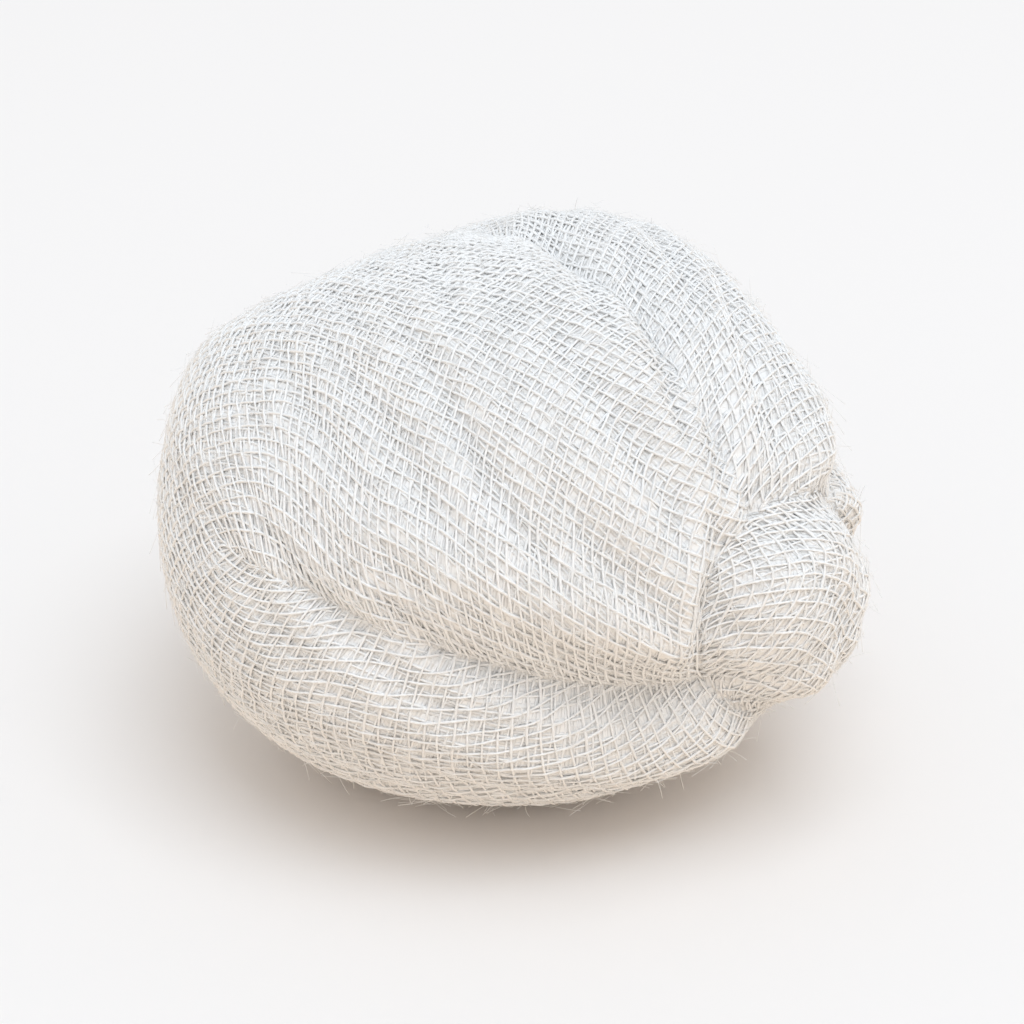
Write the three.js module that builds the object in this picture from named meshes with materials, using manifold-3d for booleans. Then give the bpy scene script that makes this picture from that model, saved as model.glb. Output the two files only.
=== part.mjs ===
// A gauze ball: one square of white dressing gauze, rolled up and turned in on itself so that no cut
// edge shows. The cloth runs from a smooth crown over the sides into a twisted tuck, where the rolled
// end shows as a round knot inside a soft lip. Millimetres, +Z up. The ball lies on its pressed
// underside, with the middle of its box over the origin.

import * as THREE from 'three';
import { ParametricGeometry } from 'three/addons/geometries/ParametricGeometry.js';
import { mergeVertices } from 'three/addons/utils/BufferGeometryUtils.js';
import Module from 'manifold-3d';

// The whole ball, before its underside is pressed flat. A fullness of 2 is a plain oval, and a higher
// one is blockier.
const BALL_LENGTH = 38;
const BALL_DEPTH = 36;
const BALL_HEIGHT = 30.5;
const BALL_FULLNESS = 2.2;
const REST_SINK = 1.2;

// Where the tuck faces, in degrees: its bearing from +X, its height above the table, and the roll of
// the mouth's long side about the tuck's own axis
const TUCK_BEARING = -34;
const TUCK_HEIGHT = -2;
const TUCK_ROLL = -32;

// The tuck: an oval mouth with a rounded lip, a groove that runs back under the lip, and the knot
const MOUTH_LENGTH = 15.5;
const MOUTH_WIDTH = 12;
const GROOVE_DEPTH = 3;
const LIP_ROUND = 1.2;
const LIP_OVERHANG = 0.8;
const LIP_WIDTH = 2.9;
const KNOT_RISE = 2.3;
const KNOT_FOLD_COUNT = 3;
const KNOT_FOLD_DEPTH = 0.5;
const KNOT_TWIST = -55;

// The gathers that run out from the lip, bent by the twist that closed the ball
const GATHER_COUNT = 9;
const GATHER_DEPTH = 0.7;
const GATHER_REACH = 10;
const TWIST = -42;
const TWIST_REACH = 14;

// Longer folds that leave the lip at these turns round it and cross the sides of the ball
const LONG_FOLDS = [
  { turn: 236, depth: 2.2, width: 2.6, reach: 22 },
  { turn: 146, depth: 0.8, width: 1.8, reach: 26 },
  { turn: 66, depth: 1.0, width: 2.2, reach: 22 },
  { turn: 8, depth: 1.4, width: 2.4, reach: 26 },
  { turn: 312, depth: 0.9, width: 2.4, reach: 24 },
];

// Facets that the neighbouring balls in a bag have pressed into the soft cloth
const FACETS = [
  { bearing: 128, height: 54, depth: 2.2 },
  { bearing: -118, height: 42, depth: 0.9 },
  { bearing: 22, height: 26, depth: 1.7 },
  { bearing: 95, height: 0, depth: 0.9 },
  { bearing: 172, height: -24, depth: 0.9 },
];
const FACET_BLEND = 2.4;

// How unevenly the gathers are spaced, in radians, and how far a long fold lifts the cloth beside it,
// as a share of its depth
const WIDE_UNEVENNESS = 0.18;
const FINE_UNEVENNESS = 0.1;
const FOLD_SHOULDER = 0.35;

// Mesh steps: round the tuck's axis, across the tuck, and from the lip to the crown
const TURN_STEPS = 96;
const TUCK_STEPS = 18;
const SIDE_STEPS = 38;

const halfSize = new THREE.Vector3(BALL_LENGTH, BALL_DEPTH, BALL_HEIGHT).divideScalar(2);
const meanRadius = Math.cbrt(halfSize.x * halfSize.y * halfSize.z);
const crownDistance = Math.PI * meanRadius;
const { degToRad, clamp, lerp } = THREE.MathUtils;

// A unit vector from its bearing round +Z and its height above the table, in degrees
function direction(bearing, height) {
  const [b, h] = [degToRad(bearing), degToRad(height)];
  return new THREE.Vector3(Math.cos(h) * Math.cos(b), Math.cos(h) * Math.sin(b), Math.sin(h));
}

// The smaller of two lengths, with the corner between them rounded over the blend
function softMin(a, b, blend) {
  const share = clamp(0.5 + (0.5 * (b - a)) / blend, 0, 1);
  return lerp(b, a, share) - blend * share * (1 - share);
}

// The length of a vector by powers other than the square
function powerLength(vector, power) {
  return vector.toArray().reduce((sum, part) => sum + Math.abs(part) ** power, 0) ** (1 / power);
}

// The plain ball: a full oval body with its pressed facets
function bodyRadius(way) {
  let radius = 1 / powerLength(way.clone().divide(halfSize), BALL_FULLNESS);
  for (const { bearing, height, depth } of FACETS) {
    const out = direction(bearing, height);
    const facing = way.dot(out);
    const reach = powerLength(out.multiply(halfSize), BALL_FULLNESS / (BALL_FULLNESS - 1));
    if (facing > 0) radius = softMin(radius, (reach - depth) / facing, FACET_BLEND);
  }
  return radius;
}

// Distance from the tuck's axis to the lip, over the surface: the oval mouth in polar form
function lipDistance(turn) {
  const [long, short] = [MOUTH_LENGTH / 2, MOUTH_WIDTH / 2];
  return (long * short) / Math.hypot(short * Math.cos(turn), long * Math.sin(turn));
}

// A ring of soft puffs with sharp valleys between them, from 0 on the puffs to -1 in the valleys
function puffs(count, turn) {
  const uneven = turn + WIDE_UNEVENNESS * Math.sin(2 * turn) + FINE_UNEVENNESS * Math.cos(3 * turn);
  return Math.abs(Math.sin((count / 2) * uneven)) - 1;
}

// How far the folds sink or lift the cloth, at a turn round the lip and a distance beyond it. Every
// fold dies out with its own reach, and none crosses the crown.
function foldHeight(turn, beyond) {
  const lip = lipDistance(turn);
  const beforeCrown = 1 - (beyond / (crownDistance - lip)) ** 4;
  const fade = (reach) => beforeCrown * Math.exp(-((beyond / reach) ** 2));
  const ringRadius = meanRadius * Math.sin((lip + beyond) / meanRadius);
  let height = GATHER_DEPTH * puffs(GATHER_COUNT, turn) * fade(GATHER_REACH);
  for (const fold of LONG_FOLDS) {
    const apart = turn - degToRad(fold.turn);
    const across = Math.abs(Math.atan2(Math.sin(apart), Math.cos(apart))) * ringRadius / fold.width;
    const valley = Math.exp(-across);
    const shoulder = FOLD_SHOULDER * Math.exp(-((across - 2) ** 2));
    height += fold.depth * fade(fold.reach) * (shoulder - valley);
  }
  return height;
}

// The cloth's line across the tuck: over the knot from its middle, down into the groove, back under
// the lip and round it. x is the distance from the tuck's axis, y the height over the plain ball.
function tuckLine(turn) {
  const lip = lipDistance(turn);
  const knot = KNOT_RISE + KNOT_FOLD_DEPTH * puffs(KNOT_FOLD_COUNT, turn);
  const onLip = (beyond, height) => new THREE.Vector2(lip + beyond, height + foldHeight(turn, beyond));
  return new THREE.SplineCurve([
    new THREE.Vector2(0, KNOT_RISE - KNOT_FOLD_DEPTH),
    new THREE.Vector2(0.3 * lip, 0.95 * knot),
    new THREE.Vector2(0.6 * lip, 0.6 * knot),
    new THREE.Vector2(0.83 * lip, -0.15 * GROOVE_DEPTH),
    new THREE.Vector2(0.96 * lip, -0.65 * GROOVE_DEPTH),
    new THREE.Vector2(lip + 0.4 * LIP_OVERHANG, -GROOVE_DEPTH),
    new THREE.Vector2(lip + LIP_OVERHANG, -0.75 * GROOVE_DEPTH),
    onLip(0.5 * LIP_OVERHANG, -1.3 * LIP_ROUND),
    onLip(0, -0.4 * LIP_ROUND),
    onLip(0.8 * LIP_ROUND, 0.4 * LIP_ROUND),
    onLip(LIP_WIDTH, 0),
  ]);
}

// The cloth's whole line, at a step along it: across the tuck, then over the side to the crown
function clothLine(turn, step) {
  if (step < TUCK_STEPS) return tuckLine(turn).getPoint(step / TUCK_STEPS);
  const start = lipDistance(turn) + LIP_WIDTH;
  const distance = lerp(start, crownDistance, (step - TUCK_STEPS) / SIDE_STEPS);
  return new THREE.Vector2(distance, foldHeight(turn, distance - lipDistance(turn)));
}

// The tuck's own axes in the world: Z out of the mouth and X along its long side
function tuckAxes() {
  const out = direction(TUCK_BEARING, TUCK_HEIGHT);
  const level = new THREE.Vector3(0, 0, 1).cross(out).normalize();
  const long = level.applyAxisAngle(out, degToRad(TUCK_ROLL));
  return new THREE.Matrix4().makeBasis(long, out.clone().cross(long), out);
}

// The cloth's surface: its line at each turn round the tuck's axis, twisted on the way out and in the knot
function clothSurface() {
  const axes = tuckAxes();
  const place = (u, v, target) => {
    const turn = 2 * Math.PI * (1 - u);
    const at = clothLine(turn, v * (TUCK_STEPS + SIDE_STEPS));
    const beyond = at.x - lipDistance(turn);
    const sideTwist = TWIST * (1 - Math.exp(-Math.max(beyond, 0) / TWIST_REACH));
    const knotTwist = KNOT_TWIST * Math.max(-beyond / lipDistance(turn), 0);
    target.setFromSphericalCoords(1, at.x / meanRadius, turn + degToRad(sideTwist + knotTwist));
    target.set(target.z, target.x, target.y).applyMatrix4(axes);
    target.multiplyScalar(bodyRadius(target) + at.y);
  };
  return new ParametricGeometry(place, TURN_STEPS, TUCK_STEPS + SIDE_STEPS);
}

const wasm = await Module();
wasm.setup();

// A closed three.js geometry as a solid that can be cut
function solidFrom(geometry) {
  geometry.deleteAttribute('normal');
  geometry.deleteAttribute('uv');
  const merged = mergeVertices(geometry, 1e-4);
  return new wasm.Manifold(new wasm.Mesh({
    numProp: 3,
    vertProperties: merged.attributes.position.array,
    triVerts: new Uint32Array(merged.index.array),
  }));
}

// A cut solid back as a three.js geometry
function geometryFrom(solid) {
  const mesh = solid.getMesh();
  const geometry = new THREE.BufferGeometry();
  geometry.setAttribute('position', new THREE.BufferAttribute(mesh.vertProperties, 3));
  geometry.setIndex(new THREE.BufferAttribute(mesh.triVerts, 1));
  geometry.computeVertexNormals();
  return geometry;
}

// The table presses the soft underside flat, and the ball then stands on z = 0
function pressedFlat(surface) {
  const table = new THREE.BoxGeometry(2 * BALL_LENGTH, 2 * BALL_DEPTH, BALL_HEIGHT);
  table.translate(0, 0, REST_SINK - BALL_HEIGHT);
  const ball = geometryFrom(solidFrom(surface).subtract(solidFrom(table)));
  ball.computeBoundingBox();
  const { min, max } = ball.boundingBox;
  return ball.translate(-(min.x + max.x) / 2, -(min.y + max.y) / 2, -min.z);
}

const gauze = new THREE.MeshStandardMaterial({ color: 0xf1efea, roughness: 0.95, metalness: 0 });
const ball = new THREE.Mesh(pressedFlat(clothSurface()), gauze);
ball.name = 'gauze_ball';

const part = new THREE.Group();
part.add(ball);
export default part;
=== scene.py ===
import math
import random

import bmesh
import bpy
import numpy as np
from mathutils import Matrix, Vector, noise
from mathutils.bvhtree import BVHTree


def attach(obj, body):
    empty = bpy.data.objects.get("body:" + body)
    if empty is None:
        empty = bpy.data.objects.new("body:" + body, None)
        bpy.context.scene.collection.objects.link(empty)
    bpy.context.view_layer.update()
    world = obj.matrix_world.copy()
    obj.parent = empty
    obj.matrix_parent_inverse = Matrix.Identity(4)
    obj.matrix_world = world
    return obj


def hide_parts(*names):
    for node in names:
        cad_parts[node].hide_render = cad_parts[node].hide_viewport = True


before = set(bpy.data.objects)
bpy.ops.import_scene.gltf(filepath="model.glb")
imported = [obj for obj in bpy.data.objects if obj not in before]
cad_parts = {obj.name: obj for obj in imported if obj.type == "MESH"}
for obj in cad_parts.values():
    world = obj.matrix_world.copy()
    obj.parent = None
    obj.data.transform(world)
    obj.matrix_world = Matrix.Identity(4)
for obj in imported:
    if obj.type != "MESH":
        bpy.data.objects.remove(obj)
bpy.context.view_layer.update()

# The body: the plies that were rolled up inside, of soft white cotton gauze. They fill the ball to just
# below its two outer plies. Their cloth is drawn in from a looser shape and twisted shut at the tuck, which
# pleats it, and the long folds that swallow the spare width are creased into it.
MM = 0.001
BALL_MIDDLE = Vector((-0.273, 0.486, 14.05)) * MM
BALL_RADIUS = 17.34 * MM
TUCK_BEARING = math.radians(-34)
TUCK_HEIGHT = math.radians(-2)
TUCK_ROLL = math.radians(-32)
MOUTH_LENGTH = 15.5 * MM
MOUTH_WIDTH = 12 * MM
MOUTH_MEAN = math.sqrt(MOUTH_LENGTH * MOUTH_WIDTH) / 2
TWIST = math.radians(-42)
TWIST_REACH = 14 * MM


def tuck_axes():
    """The tuck's own axes as the rows of a matrix: along its mouth, across it, and out of it."""
    out = Vector((math.cos(TUCK_BEARING), math.sin(TUCK_BEARING), 0)) * math.cos(TUCK_HEIGHT)
    out.z = math.sin(TUCK_HEIGHT)
    level = Vector((0, 0, 1)).cross(out).normalized()
    along = Matrix.Rotation(TUCK_ROLL, 3, out) @ level
    return Matrix((along, out.cross(along), out))


TUCK_AXES = tuck_axes()


def lip_distance(turn):
    """How far the mouth's lip is from the tuck's axis, over the surface."""
    half_long, half_short = MOUTH_LENGTH / 2, MOUTH_WIDTH / 2
    return half_long * half_short / math.hypot(half_short * math.cos(turn), half_long * math.sin(turn))


def twist_at(beyond):
    """How far the cloth is turned round the tuck's axis, at a distance beyond the lip."""
    return TWIST * (1 - math.exp(-max(beyond, 0) / TWIST_REACH))


def round_tuck(place):
    """A place's angle from the tuck's axis, and its turn round the axis before the cloth was twisted."""
    local = TUCK_AXES @ (place - BALL_MIDDLE)
    angle = math.atan2(math.hypot(local.x, local.y), local.z)
    azimuth = math.atan2(local.y, local.x)
    turn = azimuth - twist_at(angle * BALL_RADIUS - MOUTH_MEAN)
    return angle, (azimuth - twist_at(angle * BALL_RADIUS - lip_distance(turn))) % (2 * math.pi)


def beyond_lip(place):
    """How far a place is beyond the mouth's lip, over the surface. Inside the mouth it is below zero."""
    angle, turn = round_tuck(place)
    return angle * BALL_RADIUS - lip_distance(turn)


# The long folds: the turns at which they leave the lip, and the angles from the tuck's axis between which
# they open out towards the crown
FOLD_TURNS = [math.radians(turn) for turn in (8, 66, 146, 236, 312)]
FOLD_SHUTS = math.radians(80)
FOLD_OPENS = math.radians(112)
FOLD_DEPTH = 0.3 * MM
FOLD_WIDTH = 0.7 * MM


def eased(value, start, end):
    """A smooth step from 0 at the start to 1 at the end."""
    share = min(max((value - start) / (end - start), 0), 1)
    return share * share * (3 - 2 * share)


def shut_at(angle):
    """How far the long folds are shut, at an angle from the tuck's axis."""
    return 1 - eased(angle, FOLD_SHUTS, FOLD_OPENS)


def fold_distance(angle, turn):
    """How far the nearest long fold is, over the surface."""
    apart = min(abs(math.remainder(turn - fold, 2 * math.pi)) for fold in FOLD_TURNS)
    return apart * BALL_RADIUS * math.sin(angle)


def fold_crease(place):
    """How deep a long fold creases the body at a place."""
    angle, turn = round_tuck(place)
    across = fold_distance(angle, turn) / FOLD_WIDTH
    return FOLD_DEPTH * shut_at(angle) * math.exp(-across * across)


# The body's mesh: how far it lies inside the ball's outside, and how often it is evened out, all over and
# near the tuck and the folds
MERGE_DISTANCE = 0.001 * MM
BODY_DEPTH = 0.28 * MM
BODY_STEP = 0.6 * MM
BODY_FLOOR = 0.35 * MM
EASING_FACTOR = 0.5
BODY_EASING = 3
TUCK_EASING = 9
TUCK_EASED = 2.5 * MM
FOLD_EASING = 4
FOLD_EASED = 1.8 * MM


def merged_copy(node, name):
    """A new piece with a copy of a CAD node's mesh, its loose triangles merged."""
    mesh = bpy.data.meshes.new(name)
    work = bmesh.new()
    work.from_mesh(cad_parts[node].data)
    bmesh.ops.remove_doubles(work, verts=work.verts, dist=MERGE_DISTANCE)
    work.to_mesh(mesh)
    work.free()
    piece = bpy.data.objects.new(name, mesh)
    bpy.context.scene.collection.objects.link(piece)
    return piece


def make_active(piece):
    """Make a piece the one that Blender's operators work on."""
    bpy.ops.object.select_all(action="DESELECT")
    piece.select_set(True)
    bpy.context.view_layer.objects.active = piece


def smoothed(work, vertices, passes):
    """Even out some vertices of a mesh in the making."""
    for _ in range(passes):
        bmesh.ops.smooth_vert(
            work, verts=vertices, factor=EASING_FACTOR, use_axis_x=True, use_axis_y=True, use_axis_z=True
        )


# The cloth: how loose it starts, and how it is held while it is drawn in. It is simulated many times life
# size, where the solver is steadier.
SLACK_ALL_OVER = 0.012
SLACK_AT_LIP = 0.028
SLACK_REACH = 14 * MM
LOOSE_TWIST = 0.2
SIM_SCALE = 50
DRAW_FRAMES = 12
CLOTH_FRAMES = 30
CLOTH_STEPS = 5
CLOTH_MASS = 0.3
CLOTH_STRETCH = 20
CLOTH_SHEAR = 5
CLOTH_BEND = 8
CLOTH_HOLD = 0.13
HELD_SHARE = 0.5
DEEPEST_CREASE = 0.6 * MM


def loosened(place):
    """Where a point of the body lay before the cloth was drawn in and twisted."""
    local = TUCK_AXES @ (place - BALL_MIDDLE)
    beyond = math.atan2(math.hypot(local.x, local.y), local.z) * BALL_RADIUS - MOUTH_MEAN
    slack = 1 + SLACK_ALL_OVER + SLACK_AT_LIP * math.exp(-((max(beyond, 0) / SLACK_REACH) ** 2))
    loose = Matrix.Rotation(-LOOSE_TWIST * twist_at(beyond), 3, "Z") @ local
    return TUCK_AXES.transposed() @ Vector((slack * loose.x, slack * loose.y, loose.z)) + BALL_MIDDLE


def drawn_in(piece):
    """Simulate the cloth as it is drawn from its loose shape onto the ball and held there."""
    ball_shape = [vertex.co.copy() for vertex in piece.data.vertices]
    for vertex in piece.data.vertices:
        vertex.co = loosened(vertex.co / SIM_SCALE) * SIM_SCALE
    piece.shape_key_add(name="loose")
    tight = piece.shape_key_add(name="tight")
    for point, place in zip(tight.data, ball_shape):
        point.co = place
    tight.value = 0
    tight.keyframe_insert("value", frame=1)
    tight.value = 1
    tight.keyframe_insert("value", frame=DRAW_FRAMES)
    held = piece.vertex_groups.new(name="held")
    held.add(range(len(ball_shape)), HELD_SHARE, "REPLACE")
    cloth = piece.modifiers.new("cloth", "CLOTH")
    cloth.settings.quality = CLOTH_STEPS
    cloth.settings.mass = CLOTH_MASS
    cloth.settings.tension_stiffness = CLOTH_STRETCH
    cloth.settings.compression_stiffness = CLOTH_STRETCH
    cloth.settings.shear_stiffness = CLOTH_SHEAR
    cloth.settings.bending_stiffness = CLOTH_BEND
    cloth.settings.vertex_group_mass = held.name
    cloth.settings.pin_stiffness = CLOTH_HOLD
    cloth.settings.effector_weights.gravity = 0
    cloth.point_cache.frame_start = 1
    cloth.point_cache.frame_end = CLOTH_FRAMES
    for step in range(1, CLOTH_FRAMES + 1):
        bpy.context.scene.frame_set(step)
    worn = piece.evaluated_get(bpy.context.evaluated_depsgraph_get())
    creased = [vertex.co.copy() for vertex in worn.data.vertices]
    piece.modifiers.remove(cloth)
    bpy.data.actions.remove(piece.data.shape_keys.animation_data.action)
    piece.shape_key_clear()
    for vertex, place, flat in zip(piece.data.vertices, creased, ball_shape):
        crease = place - flat
        crease.length = min(crease.length, DEEPEST_CREASE * SIM_SCALE)
        vertex.co = flat + crease
    bpy.context.scene.frame_set(1)


# The weave: the gaps between the yarns of the flat gauze, how the topmost ply of the body is turned in it,
# and how the gauze is twisted and drawn in where it is the knot
WARP_GAP = 0.6 * MM
WEFT_GAP = 0.72 * MM
BODY_PLY_TURN = math.radians(-17)
KNOT_TWIST = math.radians(-55)
KNOT_DRAWN_IN = 0.85


def panel_at(turn):
    """The panel between two long folds at a turn: the turn counted in it, its middle and half its width."""
    ends = FOLD_TURNS[1:] + [FOLD_TURNS[0] + 2 * math.pi]
    if turn < FOLD_TURNS[0]:
        turn += 2 * math.pi
    start, end = next((start, end) for start, end in zip(FOLD_TURNS, ends) if start <= turn <= end)
    return turn, (start + end) / 2, (end - start) / 2


def spread_at(angle):
    """How much wider the flat gauze is than the ball's ring at an angle, as far as the folds take it up."""
    return 1 + ((math.pi - angle) / math.sin(angle) - 1) * shut_at(angle)


def flattened(place, middle, on_knot):
    """Where a place on the ball lay in the flat gauze, or in the rolled end if it is on the knot."""
    angle, turn = round_tuck(place)
    distance = angle * BALL_RADIUS
    if on_knot:
        bearing = turn - KNOT_TWIST * (1 - distance / lip_distance(turn))
        distance /= KNOT_DRAWN_IN
    else:
        bearing = middle + math.remainder(turn - middle, 2 * math.pi) / spread_at(angle)
        distance = math.pi * BALL_RADIUS - distance
    return distance * Vector((math.cos(bearing), math.sin(bearing)))


def count_yarns(piece, turn):
    """Give a piece a UV map that counts the yarns of the flat gauze, turned in its own plane."""
    counts = piece.data.uv_layers.new(name="yarn_count")
    plane = Matrix.Rotation(turn, 2)
    for polygon in piece.data.polygons:
        _, middle, _ = panel_at(round_tuck(polygon.center)[1])
        on_knot = beyond_lip(polygon.center) < 0
        for corner, vertex in zip(polygon.loop_indices, polygon.vertices):
            spot = plane @ flattened(piece.data.vertices[vertex].co, middle, on_knot)
            counts.data[corner].uv = (spot.x / WARP_GAP, spot.y / WEFT_GAP)


# The cotton: white yarn with soft clouds of cream and a fine fleck, with painted shade between the yarns. A
# ridge is a yarn of the body's topmost ply, in shares of the gap to the next, and dips where it goes under.
RIDGE_HALF = 0.17
RIDGE_DIP = 0.25
RIDGE_RELIEF = 0.11 * MM
YARN_WHITE = (0.955, 0.96, 0.963, 1)
YARN_CREAM = (0.94, 0.936, 0.926, 1)
GAP_SHADE = (0.915, 0.908, 0.896, 1)
CLOUD_SIZE = 2.5 * MM
CLOUD_DETAIL = 3.0
FLECK_SIZE = 0.12 * MM
FLECK_RELIEF = 0.25
FLECK_ROUGHNESS = 0.12
COTTON_ROUGHNESS = 0.86
COTTON_SHEEN = 0.2


class Socket:
    """A node's output, with arithmetic that adds Math nodes."""

    def __init__(self, output):
        self.output = output

    @classmethod
    def node(cls, tree, kind, settings, sockets, result=0):
        """One output of a new node, by its type, its settings, and the values or links of its sockets."""
        made = tree.nodes.new(kind)
        for name, value in settings.items():
            setattr(made, name, value)
        feed(made, sockets)
        return cls(made.outputs[result])

    def math(self, operation, *others):
        """A Math node of this value and any others."""
        sockets = dict(enumerate((self, *others)))
        return Socket.node(self.output.id_data, "ShaderNodeMath", {"operation": operation}, sockets)

    def __add__(self, other):
        return self.math("ADD", other)

    def __sub__(self, other):
        return self.math("SUBTRACT", other)

    def __rsub__(self, other):
        return self.math("MULTIPLY_ADD", -1.0, other)

    def __mul__(self, other):
        return self.math("MULTIPLY", other)

    __radd__ = __add__
    __rmul__ = __mul__


def feed(made, sockets):
    """Set a node's sockets to values, or link them to other nodes."""
    for name, value in sockets.items():
        if isinstance(value, Socket):
            made.id_data.links.new(value.output, made.inputs[name])
        else:
            made.inputs[name].default_value = value


def uv_parts(tree, name):
    """The two numbers of a UV map."""
    spot = Socket.node(tree, "ShaderNodeUVMap", {"uv_map": name}, {})
    return [Socket.node(tree, "ShaderNodeSeparateXYZ", {}, {0: spot}, part) for part in ("X", "Y")]


def mixed(tree, share, one, other):
    """A colour between two, by a share. Sockets 6, 7 and 2 are a Mix node's colours."""
    return Socket.node(tree, "ShaderNodeMix", {"data_type": "RGBA"}, {0: share, 6: one, 7: other}, 2)


def clouded(tree, size):
    """Soft cloudy noise of a size, from 0 to 1."""
    here = Socket.node(tree, "ShaderNodeTexCoord", {}, {}, "Object")
    cloud = {"Vector": here, "Scale": 1 / size, "Detail": CLOUD_DETAIL}
    return Socket.node(tree, "ShaderNodeTexNoise", {}, cloud)


def yarn_ridges(across, along, lead):
    """The rounded tops of one set of yarns, which go over and under the other set."""
    row = across.math("FLOOR")
    ridge = 1 - (across - row - 0.5).math("ABSOLUTE") * (1 / RIDGE_HALF)
    wave = (math.pi * (along + row + (lead - 0.5))).math("COSINE")
    return ridge.math("MAXIMUM", 0.0).math("SQRT") * (1 - RIDGE_DIP + RIDGE_DIP * wave)


def new_cotton(name):
    """A new material of dry cotton with a faint sheen: the material, its nodes and its shader."""
    material = bpy.data.materials.new(name)
    material.use_nodes = True
    shader = material.node_tree.nodes["Principled BSDF"]
    shader.inputs["Sheen Weight"].default_value = COTTON_SHEEN
    return material, material.node_tree, shader


body_cotton, tree, shader = new_cotton("inner_plies")
warp_count, weft_count = uv_parts(tree, "yarn_count")
warp_ridges = yarn_ridges(warp_count, weft_count, lead=0)
weft_ridges = yarn_ridges(weft_count, warp_count, lead=1)
weave = warp_ridges.math("MAXIMUM", weft_ridges)
fleck = clouded(tree, FLECK_SIZE)
ridge_tone = mixed(tree, clouded(tree, CLOUD_SIZE), YARN_CREAM, YARN_WHITE)
height = weave + FLECK_RELIEF * fleck
relief = Socket.node(tree, "ShaderNodeBump", {}, {"Distance": RIDGE_RELIEF, "Height": height})
roughness = COTTON_ROUGHNESS + FLECK_ROUGHNESS * fleck
# Painted shade: between the painted yarns of the topmost ply the colour darkens to GAP_SHADE, where deeper
# plies would lie in shadow
tone = mixed(tree, weave, GAP_SHADE, ridge_tone)
feed(shader, {"Base Color": tone, "Roughness": roughness, "Normal": relief})

body = merged_copy("gauze_ball", "gauze_body")
body.data.transform(Matrix.Scale(SIM_SCALE, 4))
body.data.remesh_voxel_size = BODY_STEP * SIM_SCALE
make_active(body)
bpy.ops.object.voxel_remesh()
work = bmesh.new()
work.from_mesh(body.data)
smoothed(work, work.verts, BODY_EASING)
tuck = [vertex for vertex in work.verts if beyond_lip(vertex.co / SIM_SCALE) < TUCK_EASED]
smoothed(work, tuck, TUCK_EASING)
folds = [vertex for vertex in work.verts if fold_distance(*round_tuck(vertex.co / SIM_SCALE)) < FOLD_EASED]
smoothed(work, folds, FOLD_EASING)
work.normal_update()
for vertex in work.verts:
    vertex.co -= vertex.normal * BODY_DEPTH * SIM_SCALE
work.to_mesh(body.data)
work.free()
drawn_in(body)
body.data.transform(Matrix.Scale(1 / SIM_SCALE, 4))
for vertex in body.data.vertices:
    vertex.co.z = max(vertex.co.z, BODY_FLOOR)
finer = body.modifiers.new("finer", "SUBSURF")
finer.levels = 1
finer.render_levels = 1
make_active(body)
bpy.ops.object.modifier_apply(modifier=finer.name)
facings = [vertex.normal.copy() for vertex in body.data.vertices]
for vertex, facing in zip(body.data.vertices, facings):
    vertex.co -= facing * fold_crease(vertex.co)
count_yarns(body, BODY_PLY_TURN)
body.data.polygons.foreach_set("use_smooth", [True] * len(body.data.polygons))
body.data.materials.append(body_cotton)
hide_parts("gauze_ball")
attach(body, "root")

# The outer ply: the gauze that closes the ball, a plain weave of fine loose cotton yarn. It was a flat
# square with its middle at the crown, drawn round the ball into the tuck. Each yarn runs over the body from
# fold to fold, and over and under the yarns that cross it.
YARN_RADIUS = 0.075 * MM
WEAVE_RISE = 0.04 * MM
OUTER_HEIGHT = 0.115 * MM
OUTER_TURN = 0.0
OUTER_SEED = 1.3
GAUZE_REACH = math.pi * BALL_RADIUS - MOUTH_WIDTH / 2
FOLD_LAP = 0.35 * MM
FOLD_EDGE = 0.5 * MM
FOLD_SINK = 0.2 * MM
LIP_INSIDE = 0.3 * MM
WANDER = 0.2 * MM
WANDER_SPAN = 7 * MM
WANDER_SEED = 4
CROOK = 0.13 * MM
CROOK_SPAN = 2 * MM
CROOK_STRIDE = 5.3
SLUB = 0.35
SLUB_SPAN = 1.6 * MM
SLUB_STRIDE = 3.7
SHORTEST_RUN = 4
FAR_OUT = 60 * MM

body_tree = BVHTree.FromObject(body, bpy.context.evaluated_depsgraph_get())
noise.seed_set(WANDER_SEED)


def direction(angle, azimuth):
    """A way out of the ball's middle, by its angle from the tuck's axis and its azimuth round it."""
    ring = math.sin(angle)
    local = Vector((ring * math.cos(azimuth), ring * math.sin(azimuth), math.cos(angle)))
    return TUCK_AXES.transposed() @ local


def laid_round(along, across):
    """Which way a point of the flat gauze lies from the ball's middle, and how far a fold sinks it."""
    angle = math.pi - math.hypot(along, across) / BALL_RADIUS
    if angle <= 0:
        return None
    bearing, middle, half = panel_at(math.atan2(across, along) % (2 * math.pi))
    turn = middle + spread_at(angle) * (bearing - middle)
    beyond = angle * BALL_RADIUS - lip_distance(turn)
    to_fold = (half - abs(turn - middle)) * BALL_RADIUS * math.sin(angle)
    if beyond < -LIP_INSIDE or to_fold < -FOLD_LAP and shut_at(angle) > 0:
        return None
    sink = FOLD_SINK * shut_at(angle) * (1 - eased(to_fold, -FOLD_LAP, FOLD_EDGE))
    return direction(angle, turn + twist_at(beyond)), sink


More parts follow.
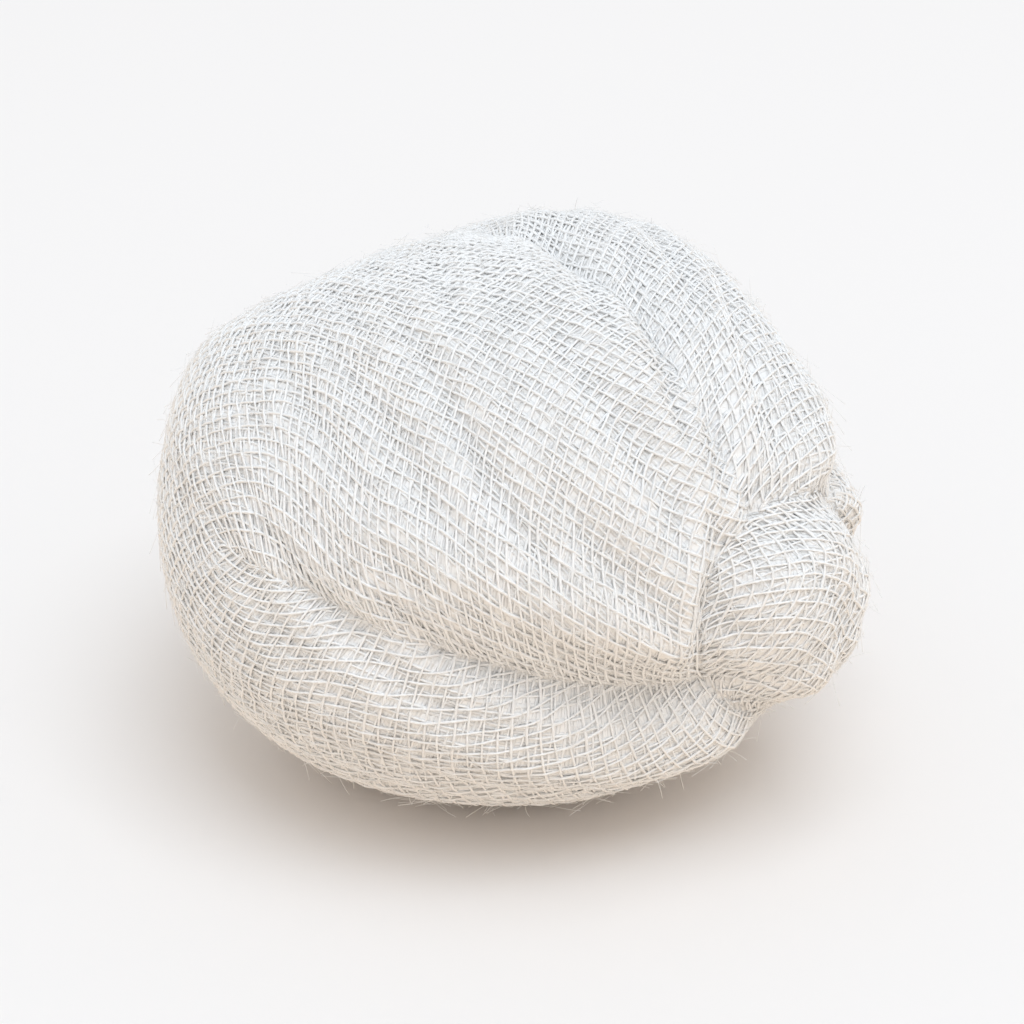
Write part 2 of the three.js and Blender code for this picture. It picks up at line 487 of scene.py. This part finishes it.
def yarn_run(lay, yarn, gap, cross_gap, reach, height, weft, turn, seed):
    """One yarn's points on the body, with its lift and thickness there, and None where it is hidden."""
    plane = Matrix.Rotation(turn, 2)
    steps = math.ceil(2 * reach / cross_gap)
    for step in range(-steps, steps + 1):
        length = step * cross_gap / 2
        crook = noise.noise(Vector((length / CROOK_SPAN, CROOK_STRIDE * yarn, seed + weft)))
        side = yarn * gap + CROOK * crook
        spot = Vector((length, side) if weft else (side, length))
        stray = noise.noise_vector(Vector((spot.x / WANDER_SPAN, spot.y / WANDER_SPAN, seed)))
        found = lay(*(plane @ (spot + WANDER * stray.xy)))
        if found is None:
            yield None
            continue
        way, sink = found
        place, facing, _, _ = body_tree.ray_cast(BALL_MIDDLE + FAR_OUT * way, -way)
        over = 0 if step % 2 else (-1) ** (yarn + step // 2 + weft)
        slub = 1 + SLUB * noise.noise(Vector((length / SLUB_SPAN, SLUB_STRIDE * yarn, seed)))
        yield place, facing, height + over * WEAVE_RISE - sink, slub


def eased_line(run):
    """A yarn's centre line and thickness, smoothed along it and kept above the table."""
    line = []
    for number, (place, facing, lift, slub) in enumerate(run):
        before, after = run[max(number - 1, 0)], run[min(number + 1, len(run) - 1)]
        bed = (before[0] + 2 * place + after[0]) / 4
        centre = bed + lift * (before[1] + 2 * facing + after[1]).normalized()
        centre.z = max(centre.z, YARN_RADIUS * slub)
        line.append((centre, slub))
    return line


def yarn_lines(lay, gap, cross_gap, reach, height, weft, turn, seed):
    """The lines of one set of yarns, each broken where it is hidden."""
    lines = []
    yarns = math.ceil(reach / gap)
    for yarn in range(-yarns, yarns + 1):
        run = []
        for point in [*yarn_run(lay, yarn, gap, cross_gap, reach, height, weft, turn, seed), None]:
            if point is not None:
                run.append(point)
                continue
            if len(run) >= SHORTEST_RUN:
                lines.append(eased_line(run))
            run = []
    return lines


# A yarn's round, and how its strands are twisted and shaded. The UV map for baking holds the yarns end to
# end in rows, with a margin between the rows.
YARN_SIDES = 4
YARN_STRANDS = 3
YARN_TURN_LENGTH = 1.1 * MM
STRAND_RELIEF = 0.01 * MM
STRAND_TONE = 0.4
FACE_CORNERS = 4
BAKE_ROWS = 96
ROW_FILL = 0.8


def wind_maps(mesh, lines, sides):
    """Two UV maps for round lines: turns along and girth, and the lines end to end in rows for baking."""
    room = math.ceil(sum(len(line) for line in lines) / BAKE_ROWS) + max(len(line) for line in lines)
    rings, row, filled = [], 0, 0
    for line in lines:
        if filled + len(line) > room:
            row, filled = row + 1, 0
        along = 0
        for number, (centre, _) in enumerate(line):
            along += (centre - line[max(number - 1, 0)][0]).length
            rings.append((along / YARN_TURN_LENGTH, filled + number + 0.5, row))
        filled += len(line)
    corners = np.empty(len(mesh.loops), dtype=int)
    mesh.loops.foreach_get("vertex_index", corners)
    side = (corners % sides).reshape(-1, FACE_CORNERS)
    across_seam = np.ptp(side, axis=1, keepdims=True) > 1
    girth = np.where(across_seam & (side == 0), sides, side).ravel() / sides
    turns, spot, row_number = np.array(rings)[corners // sides].T
    in_row = (row_number + (1 - ROW_FILL) / 2 + ROW_FILL * girth) / (row + 1)
    for name, uv in (("strand", (turns, girth)), ("OFBake", (spot / room, in_row))):
        mesh.uv_layers.new(name=name).data.foreach_set("uv", np.stack(uv, axis=1).ravel())


def spun(name, lines, radius, sides, material):
    """Round fibres or yarns along their lines, as one mesh with closed ends."""
    curve = bpy.data.curves.new(name, "CURVE")
    curve.dimensions = "3D"
    curve.bevel_depth = radius
    curve.bevel_resolution = sides // 2 - 2
    for line in lines:
        spline = curve.splines.new("POLY")
        spline.points.add(len(line) - 1)
        for point, (centre, thickness) in zip(spline.points, line):
            point.co = (*centre, 1)
            point.radius = thickness
    piece = bpy.data.objects.new(name, curve)
    bpy.context.scene.collection.objects.link(piece)
    make_active(piece)
    bpy.ops.object.convert(target="MESH")
    for layer in list(piece.data.uv_layers):
        piece.data.uv_layers.remove(layer)
    wind_maps(piece.data, lines, sides)
    work = bmesh.new()
    work.from_mesh(piece.data)
    bmesh.ops.holes_fill(work, edges=[edge for edge in work.edges if edge.is_boundary], sides=sides)
    work.to_mesh(piece.data)
    work.free()
    piece.data.materials.append(material)
    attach(piece, "root")


yarn_cotton, tree, shader = new_cotton("yarn")
turns, girth = uv_parts(tree, "strand")
strands = 0.5 + 0.5 * (2 * math.pi * YARN_STRANDS * (turns + girth)).math("SINE")
fleck = clouded(tree, FLECK_SIZE)
whiteness = (1 - STRAND_TONE) * clouded(tree, CLOUD_SIZE) + STRAND_TONE * strands
height = strands + fleck
relief = Socket.node(tree, "ShaderNodeBump", {}, {"Distance": STRAND_RELIEF, "Height": height})
roughness = COTTON_ROUGHNESS + FLECK_ROUGHNESS * fleck
tone = mixed(tree, whiteness, YARN_CREAM, YARN_WHITE)
feed(shader, {"Base Color": tone, "Roughness": roughness, "Normal": relief})


def woven(name, lay, reach, height, turn, seed):
    """The two sets of yarns of a ply, each as one piece."""
    warp = yarn_lines(lay, WARP_GAP, WEFT_GAP, reach, height, False, turn, seed)
    weft = yarn_lines(lay, WEFT_GAP, WARP_GAP, reach, height, True, turn, seed)
    spun(name + "_warp", warp, YARN_RADIUS, YARN_SIDES, yarn_cotton)
    spun(name + "_weft", weft, YARN_RADIUS, YARN_SIDES, yarn_cotton)


woven("outer", laid_round, GAUZE_REACH, OUTER_HEIGHT, OUTER_TURN, OUTER_SEED)

# The ply below it: the same cotton gauze, which was doubled before it was rolled. Its yarns lie askew under
# the outer ones, pressed into the body, and show through their gaps.
INNER_HEIGHT = 0.035 * MM
INNER_TURN = math.radians(14)
INNER_SEED = 7.9

woven("inner", laid_round, GAUZE_REACH, INNER_HEIGHT, INNER_TURN, INNER_SEED)

# The knot: the rolled end of the gauze, which bulges out of the tuck inside its lip. It is the same doubled
# gauze, twisted tighter and drawn closer, and its yarns run down into the groove round it.
KNOT_REACH = MOUTH_LENGTH / 2 / KNOT_DRAWN_IN
KNOT_EDGE = 0.97
KNOT_TURN = math.radians(20)
KNOT_SEED = 3.1
KNOT_INNER_TURN = math.radians(47)
KNOT_INNER_SEED = 5.1


def laid_on_knot(along, across):
    """Which way a point of the rolled end lies from the ball's middle. Nothing sinks it."""
    distance = KNOT_DRAWN_IN * math.hypot(along, across)
    turn = math.atan2(across, along)
    share = distance / lip_distance(turn)
    if share > KNOT_EDGE:
        return None
    return direction(distance / BALL_RADIUS, turn + KNOT_TWIST * (1 - share)), 0


woven("knot", laid_on_knot, KNOT_REACH, OUTER_HEIGHT, KNOT_TURN, KNOT_SEED)
woven("knot_inner", laid_on_knot, KNOT_REACH, INNER_HEIGHT, KNOT_INNER_TURN, KNOT_INNER_SEED)

# The lint: loose ends of cotton fibre that work out of the yarns. Long ones curl a little way off the gauze
# and make the outline soft, and a fuzz of short ones lies along the yarns.
FIBRE_SIDES = 4
FIBRE_BEND = 0.5
FIBRE_CURL = 1.5
FIBRE_SEED = 12
LINT_COUNT = 4500
LINT_RADIUS = 0.011 * MM
LINT_POINTS = 6
LINT_LENGTHS = (0.8 * MM, 2.6 * MM)
LINT_RISE = 0.3 * MM
FUZZ_COUNT = 7000
FUZZ_RADIUS = 0.013 * MM
FUZZ_POINTS = 4
FUZZ_LENGTHS = (0.4 * MM, 1.3 * MM)
FUZZ_RISE = 0.1 * MM

fibre_draw = random.Random(FIBRE_SEED)


def fibre_line(points, lengths, rise):
    """One fibre's centre line, from a random spot on the gauze."""
    way = Vector([fibre_draw.gauss(0, 1) for _ in range(3)]).normalized()
    place, facing, _, _ = body_tree.ray_cast(BALL_MIDDLE + FAR_OUT * way, -way)
    ahead = facing.orthogonal().normalized()
    ahead.rotate(Matrix.Rotation(fibre_draw.uniform(0, 2 * math.pi), 3, facing))
    length = fibre_draw.uniform(*lengths)
    bend = fibre_draw.uniform(-FIBRE_BEND, FIBRE_BEND) * length
    tip_rise = abs(fibre_draw.gauss(0, rise))
    start = fibre_draw.uniform(INNER_HEIGHT, OUTER_HEIGHT + YARN_RADIUS)
    line = []
    for step in range(points):
        share = step / (points - 1)
        lift = start + tip_rise * share ** FIBRE_CURL - (length * share) ** 2 / (2 * BALL_RADIUS)
        point = place + length * share * ahead + bend * share * share * facing.cross(ahead) + lift * facing
        point.z = max(point.z, FUZZ_RADIUS)
        line.append((point, 1))
    return line


fibre_cotton, tree, shader = new_cotton("fibre")
roughness = COTTON_ROUGHNESS + FLECK_ROUGHNESS * clouded(tree, FLECK_SIZE)
tone = mixed(tree, clouded(tree, CLOUD_SIZE), YARN_CREAM, YARN_WHITE)
feed(shader, {"Base Color": tone, "Roughness": roughness})
lint_lines = [fibre_line(LINT_POINTS, LINT_LENGTHS, LINT_RISE) for _ in range(LINT_COUNT)]
spun("lint", lint_lines, LINT_RADIUS, FIBRE_SIDES, fibre_cotton)
fuzz_lines = [fibre_line(FUZZ_POINTS, FUZZ_LENGTHS, FUZZ_RISE) for _ in range(FUZZ_COUNT)]
spun("fuzz", fuzz_lines, FUZZ_RADIUS, FIBRE_SIDES, fibre_cotton)

# The table: a plain white top that runs out of view on all sides. What it throws back up at the ball is
# warm, as off pale card, and it looks white.
TABLE_HALF = 2.0
TABLE_WHITE = (0.895, 0.868, 0.848, 1)
TABLE_WARMTH = (0.95, 0.785, 0.63, 1)
SEEING_RAYS = ("Is Camera Ray", "Is Glossy Ray", "Is Transmission Ray")


def shown_as(tree, light, look):
    """The colour that a surface looks, for the rays that see it, and the colour of the light off it."""
    camera, glossy, clear = [Socket.node(tree, "ShaderNodeLightPath", {}, {}, ray) for ray in SEEING_RAYS]
    return mixed(tree, camera + glossy + clear, light, look)


table_mesh = bpy.data.meshes.new("table")
work = bmesh.new()
bmesh.ops.create_grid(work, x_segments=1, y_segments=1, size=TABLE_HALF)
work.to_mesh(table_mesh)
work.free()
table = bpy.data.objects.new("table", table_mesh)
bpy.context.scene.collection.objects.link(table)
table_top = bpy.data.materials.new("table")
table_top.use_nodes = True
tree = table_top.node_tree
shown = shown_as(tree, TABLE_WARMTH, TABLE_WHITE)
feed(tree.nodes["Principled BSDF"], {"Base Color": shown, "Roughness": 1.0, "Specular IOR Level": 0.0})
table_mesh.materials.append(table_top)

# The light: even light from all round, cool overhead and warm near the table, and a wide soft lamp high up
# in front and to the right, so that the ball is cool on top and warm below. Past the table all is white.
SKY_OVERHEAD = (0.62, 0.68, 0.74, 1)
SKY_LOW = (1.0, 0.9, 0.8, 1)
SKY_WHITE = (1.0, 1.0, 1.0, 1)
KEY_PLACE = Vector((150, -230, 900)) * MM
KEY_COLOUR = (0.85, 0.92, 1.0)
KEY_SIZE = 660 * MM
KEY_POWER = 3.9

world = bpy.data.worlds.new("studio")
world.use_nodes = True
bpy.context.scene.world = world
tree = world.node_tree
way = Socket.node(tree, "ShaderNodeTexCoord", {}, {}, "Generated")
upward = Socket.node(tree, "ShaderNodeSeparateXYZ", {}, {0: way}, "Z")
sky = mixed(tree, upward, SKY_LOW, SKY_OVERHEAD)
feed(tree.nodes["Background"], {"Color": shown_as(tree, sky, SKY_WHITE), "Strength": 1.0})
key = bpy.data.lights.new("key", "AREA")
key.energy = KEY_POWER
key.color = KEY_COLOUR
key.size = KEY_SIZE
key_lamp = bpy.data.objects.new("key", key)
key_lamp.location = KEY_PLACE
key_lamp.rotation_euler = (BALL_MIDDLE - KEY_PLACE).to_track_quat("-Z", "Y").to_euler()
bpy.context.scene.collection.objects.link(key_lamp)

# The camera: in front of the ball, looking down on it at the photograph's angle through a long lens, with
# the whole ball in view
CAMERA_TARGET = Vector((0, 0, 13.5)) * MM
CAMERA_HEIGHT = math.radians(30)
CAMERA_DISTANCE = 155 * MM
CAMERA_LENS = 100
CAMERA_SENSOR = 36
CAMERA_NEAREST = 10 * MM

lens = bpy.data.cameras.new("camera")
lens.lens = CAMERA_LENS
lens.sensor_width = CAMERA_SENSOR
lens.clip_start = CAMERA_NEAREST
camera = bpy.data.objects.new("camera", lens)
back = Vector((0, -math.cos(CAMERA_HEIGHT), math.sin(CAMERA_HEIGHT)))
camera.location = CAMERA_TARGET + CAMERA_DISTANCE * back
camera.rotation_euler = (-back).to_track_quat("-Z", "Y").to_euler()
bpy.context.scene.collection.objects.link(camera)
bpy.context.scene.camera = camera
bpy.context.scene.view_settings.view_transform = "Standard"
